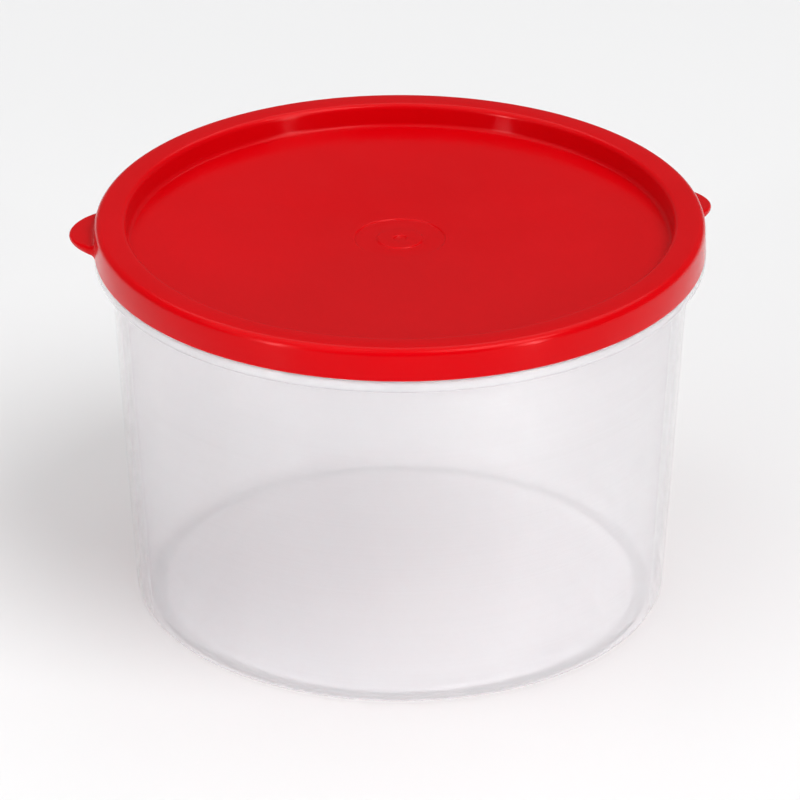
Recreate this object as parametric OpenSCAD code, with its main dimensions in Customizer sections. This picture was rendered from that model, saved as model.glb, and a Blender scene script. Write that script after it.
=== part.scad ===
// Round snap lid food container: a translucent tub and a lid that snaps over its rim.
// The origin is at the centre of the face that the tub stands on, +Z is up, and the large
// pull tab of the lid points to -X.

/* [Overall] */
// Diameter over the skirt of the lid, without the tabs
lid_d = 130; // [110:1:180]
// Height from the table to the bottom edge of the lid's skirt
skirt_z = 80; // [50:1:130]

/* [Tub] */
// Thickness of the tub's wall
wall_t = 1.1; // [0.8:0.1:1.2]
// Thickness of the tub's floor
floor_t = 1.3; // [1.0:0.1:1.6]
// Radius of the rounded edge between wall and floor
corner_r = 3; // [2.5:0.1:5]
// Height of the ring that the tub stands on, under its floor
foot_h = 0.8; // [0.4:0.1:1.0]
// How far the floor's foot ring lies inside the base's edge
foot_w = 7; // [5.5:0.5:12]

/* [Flange and rim] */
// How far the flange under the skirt stands out of the wall
flange_out = 3.3; // [3.2:0.1:3.6]
// Thickness of the flange and its turned down lip
flange_t = 1.1; // [0.9:0.1:1.2]
// Gap between the flange and the bottom edge of the skirt
seat_gap = 0.3; // [0.2:0.1:0.5]
// Radius of the snap bead around the outside of the rim
bead_r = 0.9; // [0.7:0.1:1.0]
// How far the two snap beads overlap, which holds the lid on
snap = 0.4; // [0.2:0.1:0.5]

/* [Lid] */
// Height of the skirt
skirt_h = 7; // [6.5:0.1:9]
// Thickness of the skirt, the rim band and the plug wall
lid_t = 1.3; // [1.1:0.1:1.4]
// Width of the raised band around the stacking recess
band_w = 6.8; // [6.8:0.1:8]
// Depth of the stacking recess in the top
recess_h = 5; // [4.5:0.1:5.2]
// Thickness of the panel in the recess
panel_t = 1.2; // [1.0:0.1:1.3]
// Radius of the outer top edge
edge_r = 1.6; // [1.0:0.1:2.0]

/* [Tabs] */
// Radius of the large pull tab's round outline
tab_r = 10; // [8:0.5:12]
// How far the large pull tab stands out of the skirt
tab_out = 5.6; // [4:0.1:7]
// Direction of the large pull tab, from +X
tab_angle = 184.5; // [150:0.5:210]
// Radius of the small tab's round outline
nub_r = 7; // [5:0.5:9]
// How far the small tab stands out of the skirt
nub_out = 4; // [2:0.1:5]
// Direction of the small tab, from +X
nub_angle = 22; // [0:0.5:60]
// Thickness of the tabs where they leave the skirt
tab_root_t = 2.4; // [1.6:0.1:3.0]
// Thickness of the tabs at their free edge
tab_edge_t = 1.0; // [0.8:0.1:1.6]
// Height of the tabs above the bottom edge of the skirt
tab_lift = 0.6; // [0.4:0.1:2]

/* [Moulding marks] */
// Radius of the raised disc in the middle of floor and panel
disc_r = 9.5; // [6:0.5:14]
// Height of that disc
disc_h = 0.5; // [0.2:0.1:0.6]
// Radius of the gate's dimple
gate_r = 5; // [3:0.5:5.5]
// Depth of the gate's dimple
gate_h = 0.5; // [0.2:0.1:0.5]

/* [Hidden] */
$fn = 128;
lid_r = lid_d / 2;
top_z = skirt_z + skirt_h;
ledge_z = skirt_z - seat_gap;
rim_z = top_z - lid_t - 0.1;             // the rim's top carries the band of the lid
recess_r = lid_r - band_w;
stack_gap = 1.2;                         // room around a base that stands in the recess
base_r = recess_r - stack_gap;
wall_top_r = lid_r - flange_out;
draft = atan((wall_top_r - base_r) / skirt_z);
wall_x = wall_t / cos(draft);            // the wall's thickness, measured level
floor_z = foot_h + floor_t;
skirt_in = lid_r - lid_t;
rim_bead_r = skirt_in - 0.5;             // reach of the tub's snap bead
panel_z = top_z - recess_h;
plug_r = recess_r + lid_t;
seal_z = panel_z + 1;                    // height of the sealing bead on the plug wall
seal_gap = 0.35;
seal_r = inner_r(seal_z) - seal_gap;
arc_steps = 6;

// Radius of the tub's wall at height z, outside and inside
function outer_r(z) = base_r + z * tan(draft);
function inner_r(z) = outer_r(z) - wall_x;

// Points of an arc about c with radius r, from angle a to angle b
function arc(c, r, a, b) =
    [for (i = [0:arc_steps]) c + r * [cos(a + (b - a) * i / arc_steps), sin(a + (b - a) * i / arc_steps)]];

// The turned down lip at the edge of the flange, up to the flange's top
function lip() =
    let (
        big = flange_out * 2 / 3,
        c = [lid_r - big, ledge_z - 0.8],
        small = big - flange_t,
        under_z = ledge_z - flange_t,
        a_in = asin((under_z - c[1]) / small),
        a_top = asin((ledge_z - c[1]) / big),
        a_tip = -75
    )
    concat([[outer_r(under_z), under_z]], arc(c, small, a_in, a_tip), arc(c, big, a_tip, a_top));

// The rim's outside above the flange, with its snap bead
function rim() =
    let (c = [rim_bead_r - bead_r, rim_z - bead_r], start_z = rim_z - 2 * bead_r - 0.4)
    concat([[outer_r(ledge_z), ledge_z], [outer_r(start_z), start_z]], arc(c, bead_r, -90, 90));

// The tub's rounded bottom edge, outside
function outer_corner() =
    arc([outer_r(corner_r) - corner_r / cos(draft), corner_r], corner_r, -90, -draft);

// The same edge inside
function inner_corner() =
    let (r = corner_r - wall_t, z = floor_z + r)
    arc([inner_r(z) - r / cos(draft), z], r, -draft, -90);

module tub_profile() {
    polygon(concat(
        [[0, foot_h + gate_h], [gate_r - gate_h, foot_h + gate_h], [gate_r, foot_h]],
        [[base_r - foot_w, foot_h], [base_r - foot_w + foot_h, 0]],
        outer_corner(),
        lip(),
        rim(),
        [[inner_r(rim_z), rim_z]],
        inner_corner(),
        [[disc_r, floor_z], [disc_r - disc_h, floor_z + disc_h], [0, floor_z + disc_h]]
    ));
}

// The plug wall's outside, which stands inside the tub's rim, with its sealing bead
function plug() =
    let (r = 0.7, corner = 1, bottom_z = panel_z - panel_t, c = [seal_r - r, seal_z])
    concat(
        arc([plug_r - 0.15 - corner, bottom_z + corner], corner, -90, 0),
        arc(c, r, -90, 90),
        [[plug_r, rim_z - 0.5], [plug_r + 0.5, rim_z]]
    );

// The inside of the skirt, with the snap bead, and its bottom edge
function skirt_inside() =
    let (reach = rim_bead_r - snap, c = [reach + bead_r, skirt_z + 1.7])
    concat(
        [[skirt_in, rim_z]],
        arc(c, bead_r, 90, 270),
        [[skirt_in, skirt_z + 0.3], [skirt_in + 0.3, skirt_z], [lid_r - 0.3, skirt_z], [lid_r, skirt_z + 0.3]]
    );

// The outer top edge and the recess's own wall, down to its floor
function top_edges() =
    let (lean = 0.25, inner_edge = 1.2, foot = 1)
    concat(
        arc([lid_r - lean - edge_r, top_z - edge_r], edge_r, 0, 90),
        arc([recess_r + inner_edge, top_z - inner_edge], inner_edge, 90, 180),
        arc([recess_r - lean - foot, panel_z + foot], foot, 0, -90)
    );

module lid_profile() {
    polygon(concat(
        [[0, panel_z - panel_t]],
        plug(),
        skirt_inside(),
        top_edges(),
        [[disc_r + disc_h / 2, panel_z], [disc_r, panel_z - disc_h / 2]],
        [[gate_r, panel_z - disc_h / 2], [gate_r - disc_h / 2, panel_z], [0, panel_z]]
    ));
}

// A finger tab: a round outline that thins from the skirt to its free edge
module tab(angle, r, out) {
    root_r = lid_r - lid_t / 2;
    tip_r = lid_r + out + 1;
    taper = (tab_root_t - tab_edge_t) / 2;
    low_z = skirt_z + tab_lift;
    rotate([0, 0, angle])
        intersection() {
            rotate([0, 0, -45])
                rotate_extrude(angle = 90)
                    polygon([
                        [root_r, low_z], [tip_r, low_z + taper],
                        [tip_r, low_z + tab_root_t - taper], [root_r, low_z + tab_root_t]
                    ]);
            translate([lid_r + out - r, 0, skirt_z])
                cylinder(r = r, h = skirt_h);
        }
}

module tub() {
    color([0.90, 0.90, 0.93, 0.55])
        rotate_extrude()
            tub_profile();
}

module lid() {
    color([0.86, 0.02, 0.05])
        union() {
            rotate_extrude()
                lid_profile();
            tab(tab_angle, tab_r, tab_out);
            tab(nub_angle, nub_r, nub_out);
        }
}

tub();
lid();
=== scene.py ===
"""A round snap lid food container: a frosted tub and a red lid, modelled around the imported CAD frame."""

import math

import bmesh
import bpy
from mathutils import Matrix, Vector


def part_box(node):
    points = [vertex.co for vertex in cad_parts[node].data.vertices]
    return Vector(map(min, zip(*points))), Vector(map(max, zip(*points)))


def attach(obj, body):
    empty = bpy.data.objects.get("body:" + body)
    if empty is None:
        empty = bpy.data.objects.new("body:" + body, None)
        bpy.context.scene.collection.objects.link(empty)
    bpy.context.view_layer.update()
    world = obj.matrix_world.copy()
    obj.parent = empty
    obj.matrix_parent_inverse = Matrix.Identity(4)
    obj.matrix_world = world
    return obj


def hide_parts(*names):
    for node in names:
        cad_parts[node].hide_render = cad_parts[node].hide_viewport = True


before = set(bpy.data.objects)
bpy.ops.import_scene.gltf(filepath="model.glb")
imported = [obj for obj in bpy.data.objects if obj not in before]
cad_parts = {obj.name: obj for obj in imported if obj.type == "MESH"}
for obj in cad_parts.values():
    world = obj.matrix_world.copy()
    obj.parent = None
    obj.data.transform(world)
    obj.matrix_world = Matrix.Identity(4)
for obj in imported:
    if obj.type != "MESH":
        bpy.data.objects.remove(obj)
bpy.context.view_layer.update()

MM = 0.001

# ---------------------------------------------------------------- sizes, in millimetres, from the frame
tub_low, tub_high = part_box("tub")
lid_low, lid_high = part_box("lid")
LID_R = lid_high.y / MM                # over the skirt
SKIRT_Z = lid_low.z / MM               # bottom edge of the skirt
TOP_Z = lid_high.z / MM
RIM_Z = tub_high.z / MM                # top of the tub's rim, which carries the lid
TAB_OUT = -lid_low.x / MM - LID_R      # the large pull tab points to -X

# Tub
WALL_T = 1.1
FLOOR_T = 1.3
CORNER_R = 3.0
FOOT_H = 0.8
FOOT_W = 7.0
FLANGE_OUT = 3.3
FLANGE_T = 1.1
LEDGE_Z = SKIRT_Z - 0.3
LIP_SLOPE_DEG = -68                    # where the flange's lip ends, turned down from level
LIP_DROP = 0.8                         # the lip's round centre is this far below the ledge
BEAD_R = 0.9                           # snap beads of both pieces

# Lid
LID_T = 1.3
BAND_W = 6.8
RECESS_H = 5.0
PANEL_T = 1.2
EDGE_R = 1.6
SKIRT_LEAN = 0.25                      # the skirt leans in by this much at its top
SEAL_R = 0.7                           # bead on the plug wall, which seals on the tub's wall
SEAL_GAP = 0.35
BEAD_UP = 1.7                          # snap bead's centre above the bottom edge of the skirt

# Tabs
PULL_TAB_DEG = 184.5                   # direction, counted from +X towards +Y
PULL_TAB_R = 10.0
SMALL_TAB_DEG = 22.0
SMALL_TAB_R = 7.0
SMALL_TAB_OUT = 4.0
TAB_LIFT = 0.6                         # above the bottom edge of the skirt
TAB_ROOT_T = 2.4
TAB_EDGE_T = 1.0
TAB_FILLET = 0.8                       # where a tab leaves the skirt
TAB_ROUND = 0.5                        # rounding of a tab's free edge
TAB_BLEND = 0.7                        # how gently a tab's outline flows into the skirt

# Moulding marks
DISC_R = 9.5
GATE_R = 5.0
MARK_STEP = 0.5                        # height of the marks on the tub's floor and underside
MARK_DIP = 0.25                        # depth of the ring in the lid's panel

# Both pieces
RECESS_R = LID_R - BAND_W
BASE_R = RECESS_R - 1.2
DRAFT = math.atan((LID_R - FLANGE_OUT - BASE_R) / SKIRT_Z)
WALL_X = WALL_T / math.cos(DRAFT)
SKIRT_IN = LID_R - LID_T
PANEL_Z = TOP_Z - RECESS_H
SEGMENTS = 288                         # steps around the axis

# ---------------------------------------------------------------- camera and light
VIEW_DIRECTION = (1.307, -11.37, 5.717)  # from the container to the camera
VIEW_DISTANCE = 22 * LID_R * MM
VIEW_WIDTH = 0.172                     # metres across the picture at the container
SENSOR = 36
SKY = 0.15

# name, azimuth and elevation in degrees, spread in degrees, strength
SUNS = [
    ("key", 54, 54, 36, 1.74),
    ("fill", -45, 50, 60, 0.75),
    ("top", 180, 74, 70, 1.03),
]

# name, azimuth and elevation in degrees
STRIPS = [("left_strip", -38, 12), ("right_strip", 54, 12)]
STRIP_DISTANCE = 1.0
STRIP_SIZE = (0.05, 0.5)
STRIP_POWER = 3.0


def outer_r(z):
    """Radius of the tub's wall at height z, outside."""
    return BASE_R + z * math.tan(DRAFT)


def inner_r(z):
    """Radius of the tub's wall at height z, inside."""
    return outer_r(z) - WALL_X


# ---------------------------------------------------------------- outlines
def arc(cx, cz, r, start, end, steps=10):
    """Points of an arc, each with no further rounding. Angles in degrees."""
    angles = [math.radians(start + (end - start) * i / steps) for i in range(steps + 1)]
    return [(cx + r * math.cos(a), cz + r * math.sin(a), 0.0) for a in angles]


def without_repeats(points):
    """Drops each point that lies on the one before it, as where two arcs meet."""
    kept = points[:1]
    for point in points[1:]:
        if math.dist(point, kept[-1]) > 1e-3:
            kept.append(point)
    return kept


def rounded(corners, steps=7):
    """Replaces each corner (r, z, fillet) by an arc of that radius."""
    out = []
    last = len(corners) - 1
    for i, (x, z, fillet) in enumerate(corners):
        if fillet == 0 or i in (0, last):
            out.append((x, z))
            continue
        here = Vector((x, z))
        to_prev = Vector(corners[i - 1][:2]) - here
        to_next = Vector(corners[i + 1][:2]) - here
        half = to_prev.angle(to_next) / 2
        reach = min(fillet / math.tan(half), to_prev.length * 0.9, to_next.length * 0.9)
        radius = reach * math.tan(half)
        middle = (to_prev.normalized() + to_next.normalized()).normalized()
        centre = here + middle * (radius / math.sin(half))
        a = here + to_prev.normalized() * reach - centre
        b = here + to_next.normalized() * reach - centre
        turn = a.angle_signed(b)
        for k in range(steps + 1):
            angle = -turn * k / steps
            c, s = math.cos(angle), math.sin(angle)
            out.append((centre.x + a.x * c - a.y * s, centre.y + a.x * s + a.y * c))
    return without_repeats(out)


def tub_outline():
    """From the middle of the underside out, up the outside, and down the inside to the middle."""
    floor_z = FOOT_H + FLOOR_T
    foot_r = BASE_R - FOOT_W
    big = FLANGE_OUT * 2 / 3
    small = big - FLANGE_T
    lip_x, lip_z = LID_R - big, LEDGE_Z - LIP_DROP
    under_z = LEDGE_Z - FLANGE_T
    tip = LIP_SLOPE_DEG
    tip_x = lip_x + (big - FLANGE_T / 2) * math.cos(math.radians(tip))
    tip_z = lip_z + (big - FLANGE_T / 2) * math.sin(math.radians(tip))
    ledge_x = lip_x + math.sqrt(big ** 2 - LIP_DROP ** 2)
    bead_x = SKIRT_IN - 0.5 - BEAD_R
    dimple_z = FOOT_H + MARK_STEP
    disc_z = floor_z + MARK_STEP
    corners = [(0, dimple_z, 0), (GATE_R - MARK_STEP, dimple_z, 0.3), (GATE_R, FOOT_H, 0.3)]
    corners += [(foot_r, FOOT_H, 0.5), (foot_r + FOOT_H, 0, 0.3), (BASE_R, 0, CORNER_R)]
    corners += [(outer_r(under_z), under_z, 0.5)]
    corners += arc(lip_x, lip_z, small, -12, tip)
    corners += arc(tip_x, tip_z, FLANGE_T / 2, tip + 180, tip + 360)
    corners += arc(lip_x, lip_z, big, tip, 10)
    corners += [(ledge_x, LEDGE_Z, 0.3), (outer_r(LEDGE_Z), LEDGE_Z, 0.5)]
    corners += [(outer_r(RIM_Z - 2.2), RIM_Z - 2.2, 0.5)]
    corners += arc(bead_x, RIM_Z - BEAD_R, BEAD_R, -70, 90)
    corners += [(inner_r(RIM_Z), RIM_Z, 0.45), (inner_r(floor_z), floor_z, CORNER_R - WALL_T + 0.3)]
    corners += [(DISC_R, floor_z, 0.4), (DISC_R - MARK_STEP, disc_z, 0.4), (0, disc_z, 0)]
    return rounded(corners)


def lid_outline():
    """From the middle of the panel's underside out to the skirt, and back over the top to the middle."""
    plug_r = RECESS_R + LID_T
    under_z = PANEL_Z - PANEL_T
    seal_z = PANEL_Z + 1
    seal_x = inner_r(seal_z) - SEAL_GAP - SEAL_R
    mark_z = PANEL_Z - MARK_DIP
    corners = [(0, under_z, 0), (plug_r - 0.15, under_z, 1.0), (plug_r - 0.15, seal_z - 0.75, 0.2)]
    corners += arc(seal_x, seal_z, SEAL_R, -80, 80)
    corners += [(plug_r - 0.1, seal_z + 0.75, 0.2), (plug_r, RIM_Z, 0.6), (SKIRT_IN, RIM_Z, 0.5)]
    corners += [(SKIRT_IN, SKIRT_Z + 2.65, 0.2)]
    corners += arc(SKIRT_IN, SKIRT_Z + BEAD_UP, BEAD_R, 100, 260)
    corners += [(SKIRT_IN, SKIRT_Z + 0.75, 0.2), (SKIRT_IN, SKIRT_Z, 0.35), (LID_R, SKIRT_Z, 0.35)]
    corners += [(LID_R - SKIRT_LEAN, TOP_Z, EDGE_R), (RECESS_R, TOP_Z, 1.2)]
    corners += [(RECESS_R - SKIRT_LEAN, PANEL_Z, 1.0)]
    corners += [(DISC_R + MARK_DIP, PANEL_Z, 0.3), (DISC_R, mark_z, 0.3)]
    corners += [(GATE_R, mark_z, 0.3), (GATE_R - MARK_DIP, PANEL_Z, 0.3)]
    corners += [(1.5, PANEL_Z, 0.3), (1.2, PANEL_Z - 0.3, 0.2), (0, PANEL_Z - 0.3, 0)]
    return rounded(corners)


# ---------------------------------------------------------------- meshes
def new_piece(name, bm):
    """Turns bm into an object with smooth shading, apart from its sharp edges."""
    mesh = bpy.data.meshes.new(name)
    bmesh.ops.recalc_face_normals(bm, faces=bm.faces)
    bm.to_mesh(mesh)
    bm.free()
    mesh.shade_smooth()
    mesh.set_sharp_from_angle(angle=math.radians(40))
    obj = bpy.data.objects.new(name, mesh)
    bpy.context.scene.collection.objects.link(obj)
    return obj


def turned(outline):
    """A closed body of revolution. The outline starts and ends on the axis."""
    bm = bmesh.new()
    rings = []
    for r, z in outline:
        if r < 1e-6:
            rings.append([bm.verts.new((0, 0, z * MM))])
            continue
        ring = []
        for i in range(SEGMENTS):
            a = 2 * math.pi * i / SEGMENTS
            ring.append(bm.verts.new((r * math.cos(a) * MM, r * math.sin(a) * MM, z * MM)))
        rings.append(ring)
    for low, high in zip(rings, rings[1:]):
        for i in range(SEGMENTS):
            j = (i + 1) % SEGMENTS
            if len(low) == 1:
                bm.faces.new((low[0], high[i], high[j]))
            elif len(high) == 1:
                bm.faces.new((low[i], high[0], low[j]))
            else:
                bm.faces.new((low[i], high[i], high[j], low[j]))
    return bm


def tab_mesh(angle_deg, tab_r, out, steps=72, rows=22):
    """A finger tab with a round outline, rounded edges and a fillet where it leaves the skirt."""
    root_r = LID_R - LID_T / 2
    centre = LID_R + out - tab_r
    middle = SKIRT_Z + TAB_LIFT + TAB_ROOT_T / 2
    cos_end = (centre ** 2 + LID_R ** 2 - tab_r ** 2) / (2 * centre * LID_R)
    half_angle = math.acos(cos_end) * 1.22
    overlap = 0.3                      # how far the outline runs on inside the skirt, to fuse

    def outline(a):
        """How far out the edge is at angle a, flowing into the skirt at both ends."""
        under = tab_r ** 2 - (centre * math.sin(a)) ** 2
        circle = centre * math.cos(a) + math.copysign(math.sqrt(abs(under)), under)
        proud = circle - LID_R + overlap
        return LID_R - overlap + (proud + math.sqrt(proud ** 2 + TAB_BLEND ** 2)) / 2

    tip = LID_R + out
    bm = bmesh.new()
    top, bottom = [], []
    for i in range(steps + 1):
        a = -half_angle + 2 * half_angle * i / steps
        edge = min(outline(a), tip)
        slope = (outline(a + 1e-3) - outline(a - 1e-3)) / 2e-3 / edge
        lean = 1 / math.sqrt(1 + slope ** 2)
        up, down = [], []
        for k in range(rows + 1):
            r = edge + (root_r - edge) * (k / rows) ** 1.8
            inward = (edge - r) * lean
            along = (r - root_r) / (tip - root_r)
            half = (TAB_ROOT_T + (TAB_EDGE_T - TAB_ROOT_T) * along) / 2
            if inward < TAB_ROUND:
                half *= math.sqrt(1 - (1 - inward / TAB_ROUND) ** 2)
            near = max(r - LID_R, 0)
            if near < TAB_FILLET:
                half += TAB_FILLET - math.sqrt(TAB_FILLET ** 2 - (TAB_FILLET - near) ** 2)
            half = min(half, TAB_ROOT_T / 2 + TAB_LIFT - 0.1)
            x, y = r * math.cos(a) * MM, r * math.sin(a) * MM
            up.append(bm.verts.new((x, y, (middle + half) * MM)))
            down.append(bm.verts.new((x, y, (middle - half) * MM)) if k else up[0])
        top.append(up)
        bottom.append(down)
    for i in range(steps):
        j = i + 1
        for k in range(rows):
            bm.faces.new((top[i][k], top[i][k + 1], top[j][k + 1], top[j][k]))
            bm.faces.new((bottom[i][k], bottom[j][k], bottom[j][k + 1], bottom[i][k + 1]))
        bm.faces.new((top[i][rows], bottom[i][rows], bottom[j][rows], top[j][rows]))
    for i in (0, steps):
        for k in range(rows):
            quad = [top[i][k], bottom[i][k], bottom[i][k + 1], top[i][k + 1]]
            bm.faces.new(quad if k else [top[i][0], bottom[i][1], top[i][1]])
    bmesh.ops.rotate(bm, verts=bm.verts, matrix=Matrix.Rotation(math.radians(angle_deg), 3, "Z"))
    return bm


def join_solids(base, extras):
    """Fuses the extras into the base with an exact union, and leaves no modifier behind."""
    for extra in extras:
        mod = base.modifiers.new("fuse", "BOOLEAN")
        mod.operation = "UNION"
        mod.solver = "EXACT"
        mod.object = extra
        bpy.context.view_layer.update()
        fused = bpy.data.meshes.new_from_object(base.evaluated_get(bpy.context.evaluated_depsgraph_get()))
        base.modifiers.clear()
        base.data = fused
        bpy.data.objects.remove(extra)
    base.data.shade_smooth()
    base.data.set_sharp_from_angle(angle=math.radians(32))


# ---------------------------------------------------------------- materials
class Nodes:
    """Short helper for building a material's node tree."""

    def __init__(self, name):
        self.material = bpy.data.materials.new(name)
        self.material.use_nodes = True
        self.tree = self.material.node_tree
        self.shader = self.tree.nodes["Principled BSDF"]
        self.coords = self.tree.nodes.new("ShaderNodeTexCoord").outputs["Object"]

    def add(self, kind):
        return self.tree.nodes.new(kind)

    def link(self, a, b):
        self.tree.links.new(a, b)

    def noise(self, stretch, detail=3.0):
        """Noise in object space; stretch is how many times it changes per metre along X, Y, Z."""
        mapping = self.add("ShaderNodeMapping")
        mapping.inputs["Scale"].default_value = stretch
        self.link(self.coords, mapping.inputs["Vector"])
        noise = self.add("ShaderNodeTexNoise")
        noise.inputs["Scale"].default_value = 1.0
        noise.inputs["Detail"].default_value = detail
        noise.inputs["Roughness"].default_value = 0.5
        self.link(mapping.outputs["Vector"], noise.inputs["Vector"])
        return noise.outputs["Fac"]

    def spread(self, value, low, high):
        """Maps 0.3..0.7 of a noise to low..high."""
        node = self.add("ShaderNodeMapRange")
        node.inputs["From Min"].default_value = 0.3
        node.inputs["From Max"].default_value = 0.7
        node.inputs["To Min"].default_value = low
        node.inputs["To Max"].default_value = high
        self.link(value, node.inputs["Value"])
        return node.outputs["Result"]

    def tint(self, value, low, high):
        """A colour that runs from low to high with a noise."""
        ramp = self.add("ShaderNodeValToRGB")
        ramp.color_ramp.elements[0].position = 0.3
        ramp.color_ramp.elements[1].position = 0.7
        ramp.color_ramp.elements[0].color = (*low, 1)
        ramp.color_ramp.elements[1].color = (*high, 1)
        self.link(value, ramp.inputs["Fac"])
        return ramp.outputs["Color"]

    def bump(self, layers, target="Normal"):
        """Chained bumps; each layer is (height, distance in metres, strength)."""
        normal = None
        for height, distance, strength in layers:
            node = self.add("ShaderNodeBump")
            node.inputs["Distance"].default_value = distance
            node.inputs["Strength"].default_value = strength
            self.link(height, node.inputs["Height"])
            if normal is not None:
                self.link(normal, node.inputs["Normal"])
            normal = node.outputs["Normal"]
        self.link(normal, self.shader.inputs[target])

    def set(self, **values):
        """Sets the shader's own sockets; an underscore stands for a space."""
        for key, value in values.items():
            self.shader.inputs[key.replace("_", " ")].default_value = value


def frosted_plastic():
    """Translucent polypropylene: clear enough to look through, milky, with a soft sheen.
    Fine level ridges left by polishing the mould draw its highlights out into upright streaks."""
    n = Nodes("frosted_plastic")
    n.set(IOR=1.45, Alpha=0.3)
    n.set(Subsurface_Weight=1.0, Subsurface_Scale=0.002, Subsurface_Radius=(1.0, 1.0, 1.0))
    n.set(Coat_Weight=1.0, Coat_Roughness=0.18, Coat_IOR=1.9)
    cloud = n.noise((22, 22, 14), detail=2)
    n.link(n.tint(cloud, (0.775, 0.782, 0.812), (0.825, 0.83, 0.852)), n.shader.inputs["Base Color"])
    n.link(n.spread(n.noise((60, 60, 30)), 0.08, 0.15), n.shader.inputs["Roughness"])
    n.bump([
        (n.noise((60, 60, 4), detail=1), 0.0003, 0.1),
        (n.noise((1500, 1500, 1500), detail=2), 0.00002, 0.2),
    ])
    n.bump([(n.noise((3, 3, 14000), detail=1), 0.00009, 0.9)], "Coat Normal")
    return n.material


def lid_plastic():
    """Red moulded plastic, a little light gets through it, with a fine grain."""
    n = Nodes("lid_plastic")
    n.set(IOR=1.49, Specular_IOR_Level=0.3, Specular_Tint=(1.0, 0.3, 0.3, 1.0))
    n.set(Subsurface_Weight=0.4, Subsurface_Scale=0.0012, Subsurface_Radius=(1.0, 0.15, 0.15))
    cloud = n.noise((18, 18, 18), detail=3)
    n.link(n.tint(cloud, (0.55, 0.0, 0.002), (0.61, 0.0, 0.003)), n.shader.inputs["Base Color"])
    n.link(n.spread(n.noise((90, 90, 90)), 0.15, 0.24), n.shader.inputs["Roughness"])
    n.bump([
        (n.noise((45, 45, 45), detail=1), 0.0003, 0.1),
        (n.noise((1800, 1800, 1800), detail=2), 0.00001, 0.3),
    ])
    return n.material


def floor_material():
    """The studio's plain white floor."""
    n = Nodes("floor_white")
    n.set(Roughness=0.4, IOR=1.4)
    soft = n.noise((3, 3, 3), detail=2)
    n.link(n.tint(soft, (0.80, 0.80, 0.805), (0.82, 0.82, 0.822)), n.shader.inputs["Base Color"])
    return n.material


# ---------------------------------------------------------------- the pieces
def make_tub():
    tub = new_piece("tub_shell", turned(tub_outline()))
    tub.data.materials.append(frosted_plastic())
    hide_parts("tub")
    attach(tub, "tub")
    tub.visible_shadow = False         # lets the light reach its inside, and the floor behind it


def make_lid():
    lid = new_piece("lid_shell", turned(lid_outline()))
    tabs = [
        new_piece("pull_tab", tab_mesh(PULL_TAB_DEG, PULL_TAB_R, TAB_OUT)),
        new_piece("small_tab", tab_mesh(SMALL_TAB_DEG, SMALL_TAB_R, SMALL_TAB_OUT)),
    ]
    join_solids(lid, tabs)
    lid.data.materials.clear()
    lid.data.materials.append(lid_plastic())
    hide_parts("lid")
    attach(lid, "lid")


# ---------------------------------------------------------------- floor, light and camera
def make_floor():
    bm = bmesh.new()
    bmesh.ops.create_grid(bm, x_segments=8, y_segments=8, size=4.0)
    floor = new_piece("floor", bm)
    floor.data.materials.append(floor_material())


def direction(azimuth, elevation):
    """Azimuth 0 is in front (-Y), 90 on the right (+X)."""
    a, e = math.radians(azimuth), math.radians(elevation)
    return Vector((math.sin(a) * math.cos(e), -math.cos(a) * math.cos(e), math.sin(e)))


def strip_light(name, azimuth, elevation, target):
    """A narrow upright area light that faces the target."""
    light = bpy.data.lights.new(name, "AREA")
    light.shape = "RECTANGLE"
    light.size, light.size_y = STRIP_SIZE
    light.energy = STRIP_POWER
    obj = bpy.data.objects.new(name, light)
    offset = direction(azimuth, elevation)
    obj.location = target + offset * STRIP_DISTANCE
    obj.rotation_euler = (-offset).to_track_quat("-Z", "Y").to_euler()
    bpy.context.scene.collection.objects.link(obj)


def soft_sun(name, azimuth, elevation, spread, strength):
    """A distant light as wide as a large softbox."""
    light = bpy.data.lights.new(name, "SUN")
    light.energy = strength
    light.angle = math.radians(spread)
    obj = bpy.data.objects.new(name, light)
    obj.rotation_euler = direction(azimuth, elevation).to_track_quat("Z", "Y").to_euler()
    bpy.context.scene.collection.objects.link(obj)


def make_light(target):
    world = bpy.data.worlds.new("studio")
    bpy.context.scene.world = world
    world.use_nodes = True
    background = world.node_tree.nodes["Background"]
    background.inputs["Color"].default_value = (1, 1, 1, 1)
    background.inputs["Strength"].default_value = SKY
    for sun in SUNS:
        soft_sun(*sun)
    for strip in STRIPS:
        strip_light(*strip, target)


def make_camera():
    """The camera stands a little to the right of the front and looks down on the lid."""
    towards = Vector(VIEW_DIRECTION).normalized()
    camera = bpy.data.cameras.new("camera")
    obj = bpy.data.objects.new("camera", camera)
    middle = Vector((0, 0, (tub_low.z + lid_high.z) / 2))
    obj.location = middle + towards * VIEW_DISTANCE
    obj.rotation_euler = (middle - obj.location).to_track_quat("-Z", "Y").to_euler()
    camera.sensor_width = SENSOR
    camera.lens = camera.sensor_width * VIEW_DISTANCE / VIEW_WIDTH
    bpy.context.scene.collection.objects.link(obj)
    bpy.context.scene.camera = obj
    return middle


def main():
    middle = make_camera()
    make_light(middle)
    make_floor()
    make_tub()
    make_lid()
    scene = bpy.context.scene
    scene.view_settings.view_transform = "Standard"
    bpy.context.view_layer.update()


main()
